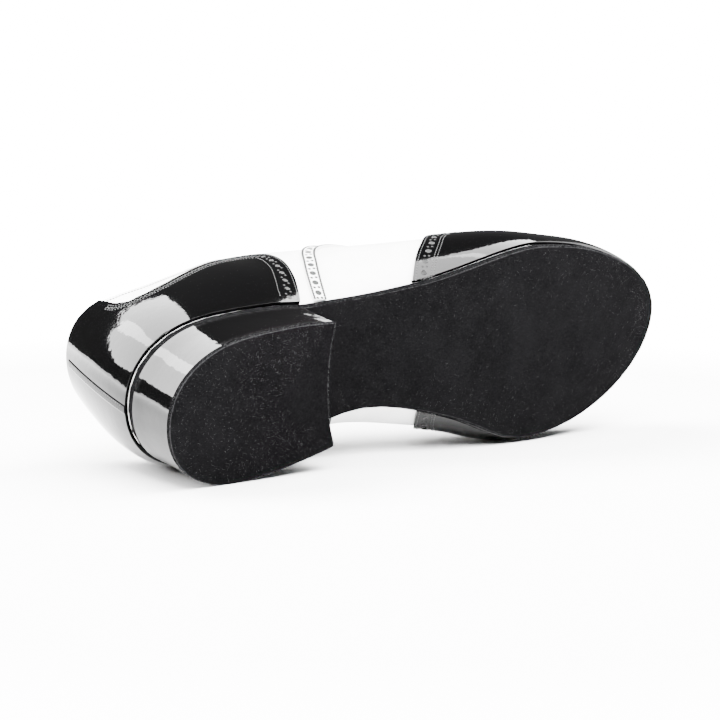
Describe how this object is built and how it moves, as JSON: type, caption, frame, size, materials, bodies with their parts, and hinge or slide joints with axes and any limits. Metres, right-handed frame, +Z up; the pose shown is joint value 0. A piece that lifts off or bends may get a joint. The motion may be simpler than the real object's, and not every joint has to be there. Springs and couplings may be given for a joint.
{
  "type": "dance shoe",
  "caption": "Low-heeled two-tone lace-up ballroom shoe for the right foot, with winged toe cap, wrapped heel counter and suede sole, lying on its inner side.",
  "frame": {"origin": "middle of the bounding box on the floor under the shoe as it lies on its inner side", "axes": "+X from heel to toe; +Y from the sole towards the laces, nearly the shoe's own up; +Z up, from the inner side of the foot to the outer side"},
  "size_m": [0.2918, 0.1124, 0.0985],
  "materials": {
    "black_patent": "high gloss",
    "counter_patent": "high gloss",
    "heel_cover": "high gloss",
    "white_leather": "smooth, semi-gloss",
    "white_band": "smooth, semi-gloss",
    "tongue_leather": "smooth, semi-gloss",
    "lining_leather": "matte",
    "grey_suede": "napped, matte",
    "lift_suede": "napped, matte",
    "white_lace": "woven, matte"
  },
  "bodies": {
    "root": {"outsole": "grey_suede", "heel_block": "heel_cover", "top_lift": "lift_suede", "upper": "white_leather", "insole": "lining_leather", "tongue": "tongue_leather", "toe_cap": "black_patent", "heel_counter": "counter_patent", "quarter_band_lateral": "white_band", "quarter_band_medial": "white_band", "lace_bar_1": "white_lace", "lace_bar_2": "white_lace", "lace_bar_3": "white_lace", "lace_bar_4": "white_lace", "lace_bar_5": "white_lace"}
  },
  "joints": []
}
